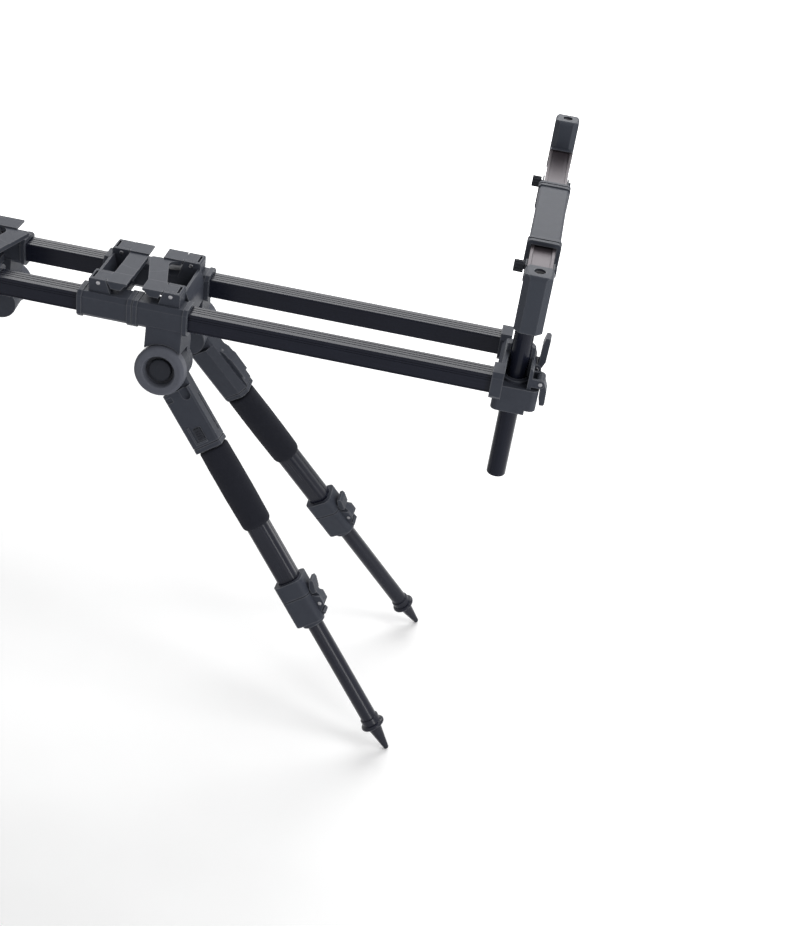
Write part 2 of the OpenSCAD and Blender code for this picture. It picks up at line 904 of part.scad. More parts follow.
module end_block() {
    arm_from = -post_gap - arm_grip;
    wall_to = -post_bore / 2 - 0.9;
    wall_x = lever_wall + 4;
    color(charcoal) {
        difference() {
            union() {
                // arms that hold the rails, and the wall that joins them
                for (y = [-rail_y, rail_y])
                    translate([arm_from, y, 0])
                        along_x(wall_to - arm_from)
                            chamfered_rect(collar_side, collar_side, sleeve_cut);
                along_y(rail_pitch - collar_side + 4)
                    polygon([
                        [arm_from + 3, box_top - 1], [wall_to, box_top - 1], [wall_to, collar_side / 2 - 2],
                        [arm_from + 7, collar_side / 2 - 2], [arm_from + 3, collar_side / 2 - 7]
                    ]);
                // the box that clamps the post, with its ring
                translate([box_out, 0, box_bottom])
                    linear_extrude(box_h)
                        rounded_rect(box_w, box_d, 7);
                translate([0, 0, box_bottom - 4])
                    cylinder(d = post_d + 8, h = 5);
                translate([0, 0, box_top - 1])
                    cylinder(d = ring_d, h = ring_h + 1);
                // the cradle behind the post, and the wall that carries the levers
                translate([0, 0, box_top - 1])
                    linear_extrude(cradle_h - box_top + 1)
                        intersection() {
                            circle(d = cradle_d);
                            translate([-cradle_d, 0])
                                square(2 * cradle_d);
                        }
                along_y(2 * (upper_pin[1] + lug_reach))
                    polygon([
                        [lever_wall, box_top - 1], [wall_x, box_top - 1], [wall_x, 6],
                        [wall_x - 2, 10], [lever_wall, 10]
                    ]);
            }
            rail_bores_at_end(arm_from);
            translate([0, 0, box_bottom - 5])
                cylinder(d = post_bore, h = box_h + cradle_h - box_top + 10);
            translate(upper_pin)
                rod_y(2 * end_cam_r + 2 * slide_fit, end_lever_w + 2 * slide_fit);
            // the step under the outer end of the box
            translate([post_d - 5, -box_d, box_bottom - 1])
                cube([box_w, 2 * box_d, 6]);
        }
        end_lugs(upper_pin);
        end_lugs(lower_pin);
    }
}

module rail_bores_at_end(from) {
    for (y = [-rail_y, rail_y])
        translate([from - 1, y, 0])
            along_x(-post_gap + fixed_fit - from + 1)
                rounded_rect(rail_w + 2 * fixed_fit, rail_w + 2 * fixed_fit, rail_edge_r);
}

// A handle on its pin: up is +1 for the rail lever and -1 for the post lever
module end_lever(pin, up, handle_l) {
    color(charcoal)
        translate(pin)
            flip([0, 0, 1], up < 0)
                difference() {
                    union() {
                        rod_y(2 * end_cam_r, end_lever_w);
                        along_y(end_lever_w)
                            polygon([
                                [-1, 0], [0.9, 8], [1.1, handle_l - 9], [3, handle_l], [6.8, handle_l],
                                [8.2, handle_l - 2], [7.6, 8], [end_cam_r - 0.2, 0]
                            ]);
                    }
                    rod_y(pin_d + 2 * slide_fit, end_lever_w + 1);
                    for (i = [1 : 4])
                        translate([8.4, 0, handle_l - 1 - 3 * i])
                            rod_y(1.2, end_lever_w + 1);
                }
}

// Posts and cross bars

module post() {
    color(black)
        difference() {
            translate([0, 0, -post_below])
                cylinder(d = post_d, h = post_top + post_below);
            translate([0, 0, -post_below + 6])
                cylinder(d = post_d - 2 * round_wall, h = post_top + post_below);
        }
}

// Drawn with the middle of the bar at Z = 0: a sleeve, with a tongue at each end that carries the arm
module bar_sleeve() {
    color(charcoal)
        difference() {
            union() {
                along_y(2 * bar_half)
                    rounded_rect(bar_w, bar_t, 3);
                // a tongue under each arm, with two cheeks at the thumb screw
                translate([0, 0, (bar_wall - bar_t) / 2])
                    along_y(2 * tongue_to)
                        square([arm_w - 2, bar_wall], center = true);
                for (y = [-thumb_y, thumb_y])
                    translate([0, y, 0])
                        along_y(cheek_l)
                            intersection() {
                                rounded_rect(tongue_w, bar_t, 3);
                                translate([0, tongue_top - bar_t / 2])
                                    square([bar_w, bar_t], center = true);
                            }
                for (y = [-1, 1], i = [0, 1])
                    translate([0, y * (bar_half - lip_w / 2 - i * (lip_w + lip_gap)), 0])
                        along_y(lip_w)
                            rounded_rect(bar_w + 2 * lip_h, bar_t + 2 * lip_h, 4);
                for (y = [-thumb_y, thumb_y])
                    translate([tongue_w / 2 - 0.5, y, 0])
                        rotate([0, 90, 0])
                            cylinder(d = shank_d + 4, h = 2.5);
                translate([0, 0, -bar_t / 2 - boss_h])
                    cylinder(d = boss_d, h = boss_h + 1);
            }
            along_y(2 * tongue_to + 2)
                square([arm_w + 2 * slide_fit, arm_h + 2 * slide_fit], center = true);
            translate([0, 0, -bar_t / 2 - boss_h - 1])
                cylinder(d = post_bore, h = boss_h - 3 + slide_fit + 1);
            for (y = [-thumb_y, thumb_y])
                translate([-bar_w / 2 - 1, y, 0])
                    rotate([0, 90, 0])
                        cylinder(d = shank_d + 2 * slide_fit, h = bar_wall + 2);
        }
}

// The side of an end cap, with rounded top corners
module cap_side() {
    translate([-cap_w / 2, -cap_down])
        square([cap_w, cap_h - cap_round]);
    translate([cap_round - cap_w / 2, -cap_down])
        square([cap_w - 2 * cap_round, cap_h]);
    for (x = [-1, 1])
        translate([x * (cap_w / 2 - cap_round), cap_up - cap_round])
            circle(cap_round);
}

module end_cap() {
    intersection() {
        translate([0, 0, -cap_down])
            linear_extrude(cap_h)
                chamfered_rect(cap_w, cap_w, cap_cut);
        along_y(cap_w + 2)
            cap_side();
        translate([-cap_w / 2 - 1, 0, 0])
            along_x(cap_w + 2)
                cap_side();
    }
}

// Drawn for the near side: a grooved bar with an upright end cap and a collar where the two meet
module bar_arm() {
    collar_from = hole_out - cap_w / 2 - cap_collar_l;
    color(satin)
        translate([0, -(arm_in + collar_from + 1) / 2, 0])
            along_y(collar_from + 1 - arm_in)
                difference() {
                    square([arm_w, arm_h], center = true);
                    translate([0, arm_h / 2])
                        square([arm_w - 5.6, 3], center = true);
                    translate([0, -1])
                        square([arm_w - 8, arm_h - 9], center = true);
                }
    color(charcoal)
        difference() {
            union() {
                translate([0, -hole_out, 0])
                    end_cap();
                translate([0, -collar_from - (cap_collar_l + 1) / 2, 0])
                    along_y(cap_collar_l + 1)
                        rounded_rect(arm_w + 2 * cap_collar_h, arm_h + 2 * cap_collar_h, 2);
            }
            translate([0, -hole_out, cap_up - hole_deep])
                cylinder(d = hole_d, h = hole_deep + 1);
        }
}

module thumb_screw() {
    head_to = -tongue_w / 2 - 1;
    color(charcoal)
        difference() {
            union() {
                translate([head_to - thumb_l, -thumb_y, 0])
                    rotate([0, 90, 0])
                        cylinder(d = thumb_d, h = thumb_l);
                translate([head_to - 1, -thumb_y, 0])
                    rotate([0, 90, 0])
                        cylinder(d = shank_d, h = -arm_w / 2 - slide_fit / 2 - head_to + 1);
            }
            for (a = [0 : 30 : 330])
                translate([head_to - thumb_l - 1, -thumb_y, 0])
                    rotate([a, 0, 0])
                        translate([0, thumb_d / 2 + 0.5, 0])
                            rotate([0, 90, 0])
                                cylinder(d = 2.2, h = thumb_l);
        }
}

// Nodes

module joiner() color(charcoal) translate([joiner_half, 0, rail_z]) mirror([1, 0, 0]) clamp_block();
module joiner_lever() color(charcoal) translate([joiner_half, 0, rail_z]) mirror([1, 0, 0]) block_lever(0);

module near_right_rail() rail("near", "right");
module far_right_rail() rail("far", "right");
module near_left_rail() rail("near", "left");
module far_left_rail() rail("far", "left");

module right_leg_block() leg_block("right");
module left_leg_block() leg_block("left");
module right_block_lever() color(charcoal) on_block("right") block_lever(web_shift);
module left_block_lever() color(charcoal) on_block("left") block_lever(web_shift);

module near_right_socket() on_leg("near", "right") leg_socket(false);
module far_right_socket() on_leg("far", "right") leg_socket(true);
module near_left_socket() on_leg("near", "left") leg_socket(true);
module far_left_socket() on_leg("far", "left") leg_socket(false);

module near_right_knob() at_pivot("near", "right") pivot_knob();
module far_right_knob() at_pivot("far", "right") pivot_knob();
module near_left_knob() at_pivot("near", "left") pivot_knob();
module far_left_knob() at_pivot("far", "left") pivot_knob();

module near_right_button() on_leg("near", "right") release_button();
module far_right_button() on_leg("far", "right") release_button();
module near_left_button() on_leg("near", "left") release_button();
module far_left_button() on_leg("far", "left") release_button();

module near_right_tube() on_leg("near", "right") leg_tube();
module far_right_tube() on_leg("far", "right") leg_tube();
module near_left_tube() on_leg("near", "left") leg_tube();
module far_left_tube() on_leg("far", "left") leg_tube();

module near_right_grip() on_leg("near", "right") foam_grip();
module far_right_grip() on_leg("far", "right") foam_grip();
module near_left_grip() on_leg("near", "left") foam_grip();
module far_left_grip() on_leg("far", "left") foam_grip();

module near_right_clamp() on_leg("near", "right") leg_clamp();
module far_right_clamp() on_leg("far", "right") leg_clamp();
module near_left_clamp() on_leg("near", "left") leg_clamp();
module far_left_clamp() on_leg("far", "left") leg_clamp();

module near_right_clamp_lever() on_leg("near", "right") clamp_lever();
module far_right_clamp_lever() on_leg("far", "right") clamp_lever();
module near_left_clamp_lever() on_leg("near", "left") clamp_lever();
module far_left_clamp_lever() on_leg("far", "left") clamp_lever();

module near_right_lower_leg() on_leg("near", "right") lower_leg();
module far_right_lower_leg() on_leg("far", "right") lower_leg();
module near_left_lower_leg() on_leg("near", "left") lower_leg();
module far_left_lower_leg() on_leg("far", "left") lower_leg();

module right_end_block() at_end("right") end_block();
module left_end_block() at_end("left") end_block();
module right_upper_lever() at_end("right") end_lever(upper_pin, 1, upper_handle_l);
module left_upper_lever() at_end("left") end_lever(upper_pin, 1, upper_handle_l);
module right_lower_lever() at_end("right") end_lever(lower_pin, -1, lower_handle_l);
module left_lower_lever() at_end("left") end_lever(lower_pin, -1, lower_handle_l);

module right_post() at_end("right") post();
module left_post() at_end("left") post();
module right_bar_sleeve() at_end("right") translate([0, 0, bar_h]) bar_sleeve();
module left_bar_sleeve() at_end("left") translate([0, 0, bar_h]) bar_sleeve();

module near_right_arm() on_bar("near", "right") bar_arm();
module far_right_arm() on_bar("far", "right") bar_arm();
module near_left_arm() on_bar("near", "left") bar_arm();
module far_left_arm() on_bar("far", "left") bar_arm();

module near_right_thumb_screw() on_bar("near", "right") thumb_screw();
module far_right_thumb_screw() on_bar("far", "right") thumb_screw();
module near_left_thumb_screw() on_bar("near", "left") thumb_screw();
module far_left_thumb_screw() on_bar("far", "left") thumb_screw();

joiner();
joiner_lever();
near_right_rail();
far_right_rail();
near_left_rail();
far_left_rail();
right_leg_block();
left_leg_block();
right_block_lever();
left_block_lever();
near_right_socket();
far_right_socket();
near_left_socket();
far_left_socket();
near_right_knob();
far_right_knob();
near_left_knob();
far_left_knob();
near_right_button();
far_right_button();
near_left_button();
far_left_button();
near_right_tube();
far_right_tube();
near_left_tube();
far_left_tube();
near_right_grip();
far_right_grip();
near_left_grip();
far_left_grip();
near_right_clamp();
far_right_clamp();
near_left_clamp();
far_left_clamp();
near_right_clamp_lever();
far_right_clamp_lever();
near_left_clamp_lever();
far_left_clamp_lever();
near_right_lower_leg();
far_right_lower_leg();
near_left_lower_leg();
far_left_lower_leg();
right_end_block();
left_end_block();
right_upper_lever();
left_upper_lever();
right_lower_lever();
left_lower_lever();
right_post();
left_post();
right_bar_sleeve();
left_bar_sleeve();
near_right_arm();
far_right_arm();
near_left_arm();
far_left_arm();
near_right_thumb_screw();
far_right_thumb_screw();
near_left_thumb_screw();
far_left_thumb_screw();
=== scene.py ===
# %% [markdown]
# # Dressing a rod pod
#
# A rod pod is a stand that holds fishing rods over the water's edge. Its construction already exists as
# solids in real sizes, so this lesson only dresses them. It rounds the edges that a mould or a deburring
# tool would round, gives every piece its finish, and adds what is too fine for the solids: rolled foam,
# pin ends, knob caps and threads. It also sets up a camera, a floor and soft light. Lengths are metres.

# %% Load the frame
import json
import math

import bmesh
import bpy
from mathutils import Matrix, Vector, noise


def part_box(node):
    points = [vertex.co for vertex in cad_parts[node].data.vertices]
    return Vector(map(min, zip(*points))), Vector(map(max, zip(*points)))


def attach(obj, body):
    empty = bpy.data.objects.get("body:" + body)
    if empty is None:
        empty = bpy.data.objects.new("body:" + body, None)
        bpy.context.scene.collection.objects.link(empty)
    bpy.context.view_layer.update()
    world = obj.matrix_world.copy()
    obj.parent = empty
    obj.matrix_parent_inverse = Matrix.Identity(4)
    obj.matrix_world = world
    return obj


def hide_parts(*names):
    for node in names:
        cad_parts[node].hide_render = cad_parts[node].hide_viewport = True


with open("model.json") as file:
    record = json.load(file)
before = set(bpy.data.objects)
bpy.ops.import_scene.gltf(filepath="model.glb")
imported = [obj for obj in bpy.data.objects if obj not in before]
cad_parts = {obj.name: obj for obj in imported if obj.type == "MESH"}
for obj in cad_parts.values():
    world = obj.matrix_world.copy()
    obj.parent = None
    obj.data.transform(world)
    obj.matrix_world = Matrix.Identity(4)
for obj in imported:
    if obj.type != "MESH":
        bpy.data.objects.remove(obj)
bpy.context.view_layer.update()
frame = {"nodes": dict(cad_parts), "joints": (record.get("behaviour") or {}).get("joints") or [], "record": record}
nodes = frame["nodes"]
joints = {joint["name"]: joint for joint in frame["joints"]}
mounts = frame["record"]["mounts"]
scene = bpy.context.scene
MM = 0.001


# %% [markdown]
# ## The camera
#
# The photograph was taken from above the near side with a lens of ordinary length, and the camera was
# tilted a little. A camera is a place, three angles and a focal length. Blender's own order of angles is
# easy to get wrong, so the three axes are worked out from pan, pitch and roll, and put into the camera's
# matrix as columns: right, up and backwards.

# %% Place the camera
PHOTO_W, PHOTO_H = 790, 926
FOCAL_PX = 1392.5
SENSOR = 36.0
CAMERA_X, CAMERA_Y, CAMERA_OVER_RAILS = 0.399, -1.220, 0.6945
PAN, PITCH, ROLL = math.radians(-4.391), math.radians(34.534), math.radians(9.052)

rail_low, rail_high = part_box("near_right_rail")
camera_at = Vector((CAMERA_X, CAMERA_Y, (rail_low.z + rail_high.z) / 2 + CAMERA_OVER_RAILS))
forward = Vector((math.sin(PAN) * math.cos(PITCH), math.cos(PAN) * math.cos(PITCH), -math.sin(PITCH)))
level = Vector((math.cos(PAN), -math.sin(PAN), 0.0))
upright = level.cross(forward)
right = math.cos(ROLL) * level + math.sin(ROLL) * upright
up = math.cos(ROLL) * upright - math.sin(ROLL) * level

camera_data = bpy.data.cameras.new("photo_camera")
camera_data.sensor_width = SENSOR
camera_data.lens = SENSOR * FOCAL_PX / max(PHOTO_W, PHOTO_H)
camera = bpy.data.objects.new("photo_camera", camera_data)
camera.matrix_world = Matrix.Translation(camera_at) @ Matrix((right, up, -forward)).transposed().to_4x4()
scene.collection.objects.link(camera)
scene.camera = camera
scene.view_settings.view_transform = "Standard"
print("lens", round(camera_data.lens, 2), "mm")

# %% [markdown]
# ## Shader sums
#
# Materials here are small sums: a grain times a strength, one minus a mask. Written node by node they are
# hard to read, so one class wraps a socket and lets Python's operators add the Math nodes. Any other node
# comes from `node`, which first sets the node's own settings and then fills or links its sockets.

# %% A socket that can be added and multiplied
class Wire:
    """An output socket that takes part in sums."""

    def __init__(self, socket):
        self.socket = socket
        self.tree = socket.id_data

    @staticmethod
    def node(tree, kind, settings=None, sockets=None, out=0):
        """Makes a node, sets it up, fills or links its sockets, and wraps one of its outputs."""
        made = tree.nodes.new(kind)
        for name, value in (settings or {}).items():
            setattr(made, name, value)
        for name, value in (sockets or {}).items():
            if isinstance(value, Wire):
                tree.links.new(value.socket, made.inputs[name])
            else:
                made.inputs[name].default_value = value
        return Wire(made.outputs[out])

    def math(self, operation, first, second):
        """What a Math node makes of two wires or numbers."""
        return Wire.node(self.tree, "ShaderNodeMath", {"operation": operation}, {0: first, 1: second})

    def __add__(self, other):
        return self.math("ADD", self, other)

    def __rsub__(self, other):
        return self.math("SUBTRACT", other, self)

    def __mul__(self, other):
        return self.math("MULTIPLY", self, other)

    def __gt__(self, other):
        return self.math("GREATER_THAN", self, other)

    def __or__(self, other):
        return self.math("MAXIMUM", self, other)

    __radd__ = __add__
    __rmul__ = __mul__


print("sums ready:", Wire.__doc__)

# %% Helpers that every finish uses
LITTLE_DETAIL, SOME_DETAIL, MUCH_DETAIL = 2.0, 3.0, 4.0
# The Mix node has sockets of the same name for numbers, vectors and colours; these are the colours' places
MIX_FIRST, MIX_SECOND, MIX_RESULT = 6, 7, 2


def rgb(red, green, blue):
    """A colour with full alpha."""
    return (red, green, blue, 1.0)


def new_finish(name, constants):
    """A material, its node tree and its surface shader, with the values that are the same all over."""
    finish = bpy.data.materials.new(name)
    finish.use_nodes = True
    tree = finish.node_tree
    shader = tree.nodes["Principled BSDF"]
    for socket, value in constants.items():
        shader.inputs[socket].default_value = value
    return finish, tree, shader


def connect(tree, shader, wires):
    """Links wires to a shader's sockets."""
    for socket, wire in wires.items():
        tree.links.new(wire.socket, shader.inputs[socket])


def place(tree):
    """Where a point is on the part at rest, in metres."""
    return Wire.node(tree, "ShaderNodeTexCoord", out="Object")


def vector_math(tree, operation, sockets, out=0):
    """What a Vector Math node makes of its sockets."""
    return Wire.node(tree, "ShaderNodeVectorMath", {"operation": operation}, sockets, out)


def grain(tree, where, size, detail=LITTLE_DETAIL):
    """Noise from 0 to 1 whose lumps are about size across."""
    sockets = {"Vector": where, "Scale": 1 / size, "Detail": detail}
    return Wire.node(tree, "ShaderNodeTexNoise", sockets=sockets)


def blended(share, first, second):
    """The first value where share is 1, the second where it is 0, and some of both between."""
    return share * first + (1 - share) * second


def mixed(tree, factor, first, second):
    """The first colour where factor is 0, the second where it is 1, and some of both between."""
    sockets = {"Factor": factor, MIX_FIRST: first, MIX_SECOND: second}
    return Wire.node(tree, "ShaderNodeMix", {"data_type": "RGBA"}, sockets, MIX_RESULT)


def bumped(tree, height, depth, strength):
    """A bump whose height of 1 stands depth proud."""
    sockets = {"Height": height, "Distance": depth, "Strength": strength}
    return Wire.node(tree, "ShaderNodeBump", sockets=sockets)


print("shader helpers ready")

# %% [markdown]
# ## Moulded plastic
#
# The clamp blocks, levers, knobs and sockets are taken as glass-filled nylon. The mould has a fine spark
# texture, so the plastic looks matt, and the fibres give it a faint mottle. Noise at two sizes does both:
# mostly the coarse one mixes two greys, and the fine one drives the roughness and a very low bump.
# The outer edges are painted pale: a painted highlight, standing in for the light that rounded edges catch.
# The edges are found with short rays sent into the solid, because a mask drawn by hand would have to
# follow every edge of sixty pieces.

# %% Make the moulded plastics
MOULD_GRAIN, MOTTLE = 0.45 * MM, 9 * MM
MOTTLE_SHARE = 0.65
GRAIN_DEPTH, MOULD_BUMP = 0.05 * MM, 0.55
PLASTIC_GLOSS, GRAIN_ROUGH = 0.10, 0.16
BLOCK_MATT, KNOB_MATT = 0.40, 0.36
# The pale outer edges are a painted highlight: its strength, how far rays look in, how many, and its grey.
EDGE_LIGHT, LITTLE_EDGE_LIGHT = 1.1, 0.25
EDGE_LIGHT_REACH, EDGE_LIGHT_RAYS = 1.3 * MM, 8
EDGE_LIGHT_GREY = rgb(0.15, 0.155, 0.17)
CHARCOAL = rgb(0.034, 0.038, 0.050), rgb(0.051, 0.056, 0.071)
NEAR_BLACK = rgb(0.017, 0.019, 0.025), rgb(0.030, 0.032, 0.040)
# The knobs' grey is lighter than the blocks': in part painted light, for the light their tilted rings catch.
KNOB_LIT_GREY = rgb(0.078, 0.083, 0.101), rgb(0.112, 0.118, 0.142)


def edge_lit(tree, skin, edge_light):
    """Painted highlight: the skin pale on outer edges, where short rays sent inwards meet the next face."""
    settings = {"inside": True, "only_local": True, "samples": EDGE_LIGHT_RAYS}
    clear = Wire.node(tree, "ShaderNodeAmbientOcclusion", settings, {"Distance": EDGE_LIGHT_REACH}, "AO")
    return mixed(tree, edge_light * (1 - clear), skin, EDGE_LIGHT_GREY)


def moulded_plastic(name, greys, matt, edge_light):
    finish, tree, shader = new_finish(name, {"Specular IOR Level": PLASTIC_GLOSS})
    where = place(tree)
    fine = grain(tree, where, MOULD_GRAIN)
    mottle = grain(tree, where, MOTTLE, MUCH_DETAIL)
    skin = mixed(tree, blended(MOTTLE_SHARE, mottle, fine), *greys)
    connect(tree, shader, {
        "Base Color": edge_lit(tree, skin, edge_light),
        "Roughness": matt + GRAIN_ROUGH * fine,
        "Normal": bumped(tree, fine, GRAIN_DEPTH, MOULD_BUMP),
    })
    return finish


charcoal = moulded_plastic("charcoal_moulded", CHARCOAL, BLOCK_MATT, EDGE_LIGHT)
black_moulded = moulded_plastic("black_moulded", NEAR_BLACK, BLOCK_MATT, LITTLE_EDGE_LIGHT)
knob_moulded = moulded_plastic("knob_moulded", KNOB_LIT_GREY, KNOB_MATT, EDGE_LIGHT)
print("plastics", charcoal.name, black_moulded.name, knob_moulded.name)

# %% [markdown]
# ## Black anodised tube
#
# The rails, legs and posts are drawn aluminium, anodised black. Drawing leaves very fine lines along the
# length, so the gloss is streaked one way. Stretched noise gives that: the place is squeezed along the
# tube before it goes into the noise. All four legs lean the same way if signs are ignored, so one finish
# with absolute places does for all.

# %% Make the tube finishes
DRAW_LINE, HAZE = 0.6 * MM, 14 * MM
LINE_SHARE = 0.6
LINE_DEPTH, LINE_BUMP = 0.02 * MM, 0.35
HAZE_ROUGH = 0.06
STRETCH = 0.985
TUBE_BLACK = rgb(0.005, 0.006, 0.012), rgb(0.014, 0.016, 0.028)


def drawn_place(tree, along):
    """The place, squeezed along a direction, with the halves and the sides folded onto each other."""
    folded = vector_math(tree, "ABSOLUTE", {0: place(tree)})
    reach = vector_math(tree, "DOT_PRODUCT", {0: folded, 1: along}, "Value")
    pushed = vector_math(tree, "SCALE", {0: along, "Scale": STRETCH * reach})
    return vector_math(tree, "SUBTRACT", {0: folded, 1: pushed})


def drawn_metal(name, along, gloss, matt, streak):
    finish, tree, shader = new_finish(name, {"Specular IOR Level": gloss})
    lines = grain(tree, drawn_place(tree, along), DRAW_LINE, SOME_DETAIL)
    haze = grain(tree, place(tree), HAZE, SOME_DETAIL)
    connect(tree, shader, {
        "Base Color": mixed(tree, blended(LINE_SHARE, lines, haze), *TUBE_BLACK),
        "Roughness": matt + streak * lines + HAZE_ROUGH * haze,
        "Normal": bumped(tree, lines, LINE_DEPTH, LINE_BUMP),
    })
    return finish


leg_axis = Vector(joints["near_left_leg_plug_out"]["axis"])
ALONG_LEG = (abs(leg_axis.x), abs(leg_axis.y), leg_axis.z)
ALONG_X, ALONG_Y, ALONG_Z = (1.0, 0.0, 0.0), (0.0, 1.0, 0.0), (0.0, 0.0, 1.0)
# Direction, gloss, least roughness, and how much the drawn lines add to it
TUBES = {
    "rail_anodised": (ALONG_X, 0.12, 0.16, 0.12),
    "leg_anodised": (ALONG_LEG, 0.24, 0.18, 0.10),
    "post_anodised": (ALONG_Z, 0.12, 0.14, 0.12),
}
rail_black, leg_black, post_black = (drawn_metal(name, *look) for name, look in TUBES.items())
print("tube finishes", rail_black.name, leg_black.name, post_black.name)

# %% [markdown]
# ## Satin arms with plastic caps
#
# The arms of a cross bar are grey anodised and satin, and their upright end caps are dark plastic. Arm
# and cap are one solid here, so one finish covers both, and a mask tells them apart: the cap is all that
# lies further out than its inner face.

# %% Make the arm finish
CAP_FROM = 164.7 * MM
CAP_MATT, CAP_GRAIN_ROUGH = 0.38, 0.14
SATIN_MATT, SATIN_STREAK, SATIN_METAL = 0.30, 0.16, 0.55
SATIN_LINE_HEIGHT, ARM_BUMP = 0.4, 0.5
CAP_GREY = rgb(0.036, 0.041, 0.053), rgb(0.054, 0.060, 0.076)
SATIN_GREY = rgb(0.041, 0.035, 0.040), rgb(0.068, 0.058, 0.065)


def arm_and_cap(name):
    finish, tree, shader = new_finish(name, {"Specular IOR Level": PLASTIC_GLOSS})
    where = place(tree)
    lines = grain(tree, drawn_place(tree, ALONG_Y), DRAW_LINE, SOME_DETAIL)
    fine = grain(tree, where, MOULD_GRAIN)
    folded = vector_math(tree, "ABSOLUTE", {0: where})
    out_from_middle = Wire.node(tree, "ShaderNodeSeparateXYZ", sockets={0: folded}, out="Y")
    cap = out_from_middle > CAP_FROM
    satin = mixed(tree, lines, *SATIN_GREY)
    # The cap's plastic gets the same painted edge highlight.
    plastic = edge_lit(tree, mixed(tree, fine, *CAP_GREY), EDGE_LIGHT)
    height = blended(cap, fine, SATIN_LINE_HEIGHT * lines)
    connect(tree, shader, {
        "Base Color": mixed(tree, cap, satin, plastic),
        "Metallic": SATIN_METAL * (1 - cap),
        "Roughness": blended(cap, CAP_MATT + CAP_GRAIN_ROUGH * fine, SATIN_MATT + SATIN_STREAK * lines),
        "Normal": bumped(tree, height, GRAIN_DEPTH, ARM_BUMP),
    })
    return finish


arm_finish = arm_and_cap("satin_arm_and_cap")
print("arm finish", arm_finish.name)

# %% [markdown]
# ## Foam and steel
#
# The grips are closed-cell foam: almost black, quite matt, and pitted by cut cells. Voronoi cells give
# the pits. The lever pins are bright steel, which shows only as a dot at each end. The threads are steel
# too, and darker, because little light comes down to them.

# %% Make the foam
FOAM_CELL, FOAM_DUST, FOAM_LUMP = 0.9 * MM, 6 * MM, 4 * MM
CELL_SHARE = 0.5
CELL_HEIGHT, LUMP_HEIGHT = 0.5, 0.8
FOAM_DEPTH, FOAM_BUMP = 0.25 * MM, 0.6
FOAM_GLOSS, FOAM_MATT, CELL_ROUGH = 0.25, 0.82, 0.14
FOAM_BLACK = rgb(0.004, 0.005, 0.009), rgb(0.012, 0.013, 0.020)


def cell_foam(name):
    finish, tree, shader = new_finish(name, {"Specular IOR Level": FOAM_GLOSS})
    where = place(tree)
    cells = Wire.node(tree, "ShaderNodeTexVoronoi", sockets={"Vector": where, "Scale": 1 / FOAM_CELL})
    dust = grain(tree, where, FOAM_DUST, MUCH_DETAIL)
    lumps = grain(tree, where, FOAM_LUMP, SOME_DETAIL)
    connect(tree, shader, {
        "Base Color": mixed(tree, blended(CELL_SHARE, cells, dust), *FOAM_BLACK),
        "Roughness": FOAM_MATT + CELL_ROUGH * cells,
        "Normal": bumped(tree, CELL_HEIGHT * cells + LUMP_HEIGHT * lumps, FOAM_DEPTH, FOAM_BUMP),
    })
    return finish


foam_finish = cell_foam("cell_foam")
print("foam", foam_finish.name)

# %% Make the steel
STEEL_LINE = 0.3 * MM
STEEL_MATT, STEEL_STREAK = 0.22, 0.16
PIN_GREY = rgb(0.20, 0.20, 0.21), rgb(0.36, 0.36, 0.38)
THREAD_GREY = rgb(0.05, 0.05, 0.055), rgb(0.16, 0.16, 0.17)


def turned_steel(name, greys):
    finish, tree, shader = new_finish(name, {"Metallic": 1.0})
    lines = grain(tree, place(tree), STEEL_LINE, SOME_DETAIL)
    connect(tree, shader, {
        "Base Color": mixed(tree, lines, *greys),
        "Roughness": STEEL_MATT + STEEL_STREAK * lines,
    })
    return finish


steel_finish = turned_steel("pin_steel", PIN_GREY)
thread_finish = turned_steel("thread_steel", THREAD_GREY)
print("steel", steel_finish.name, thread_finish.name)

# %% [markdown]
# ## Finishes on the solids, and soft edges
#
# Every solid gets its finish by the ending of its name. A real moulding has no sharp edge, and a sharp
# edge catches no light, so each solid also gets modifiers that leave its own mesh alone: Weld joins the
# corners, Decimate makes each flat face one face, Bevel rounds the edges, and Weighted Normal keeps the
# flats flat.

# %% Assign finishes and round the edges
FINISH_BY_ENDING = {
    "_rail": rail_black,
    "_tube": leg_black,
    "_lower_leg": leg_black,
    "_post": post_black,
    "_arm": arm_finish,
    "_knob": knob_moulded,
    "_button": black_moulded,
    "_thumb_screw": black_moulded,
}
EDGE_BY_ENDING = {
    "_rail": 0.12 * MM,
    "_tube": 0.15 * MM,
    "_button": 0.25 * MM,
    "_thumb_screw": 0.2 * MM,
    "_lever": 0.25 * MM,
}
MOULD_EDGE, EDGE_STEPS = 0.55 * MM, 2
EDGE_ANGLE, FLAT_ANGLE = math.radians(32), math.radians(0.6)
WELD_GAP, FLAT_WEIGHT = 0.002 * MM, 80


def by_ending(table, name, other):
    """The table's value for the ending of a name, or the other value."""
    return next((value for ending, value in table.items() if name.endswith(ending)), other)


def soften(piece, width):
    """Rounds a piece's edges to a width, with modifiers alone."""
    weld = piece.modifiers.new("join_corners", "WELD")
    weld.merge_threshold = WELD_GAP
    flat = piece.modifiers.new("flat_faces", "DECIMATE")
    flat.decimate_type = "DISSOLVE"
    flat.angle_limit = FLAT_ANGLE
    edge = piece.modifiers.new("soft_edges", "BEVEL")
    edge.width = width
    edge.segments = EDGE_STEPS
    edge.limit_method = "ANGLE"
    edge.angle_limit = EDGE_ANGLE
    edge.use_clamp_overlap = True
    edge.miter_outer = "MITER_ARC"
    normal = piece.modifiers.new("flat_shading", "WEIGHTED_NORMAL")
    normal.keep_sharp = False
    normal.weight = FLAT_WEIGHT


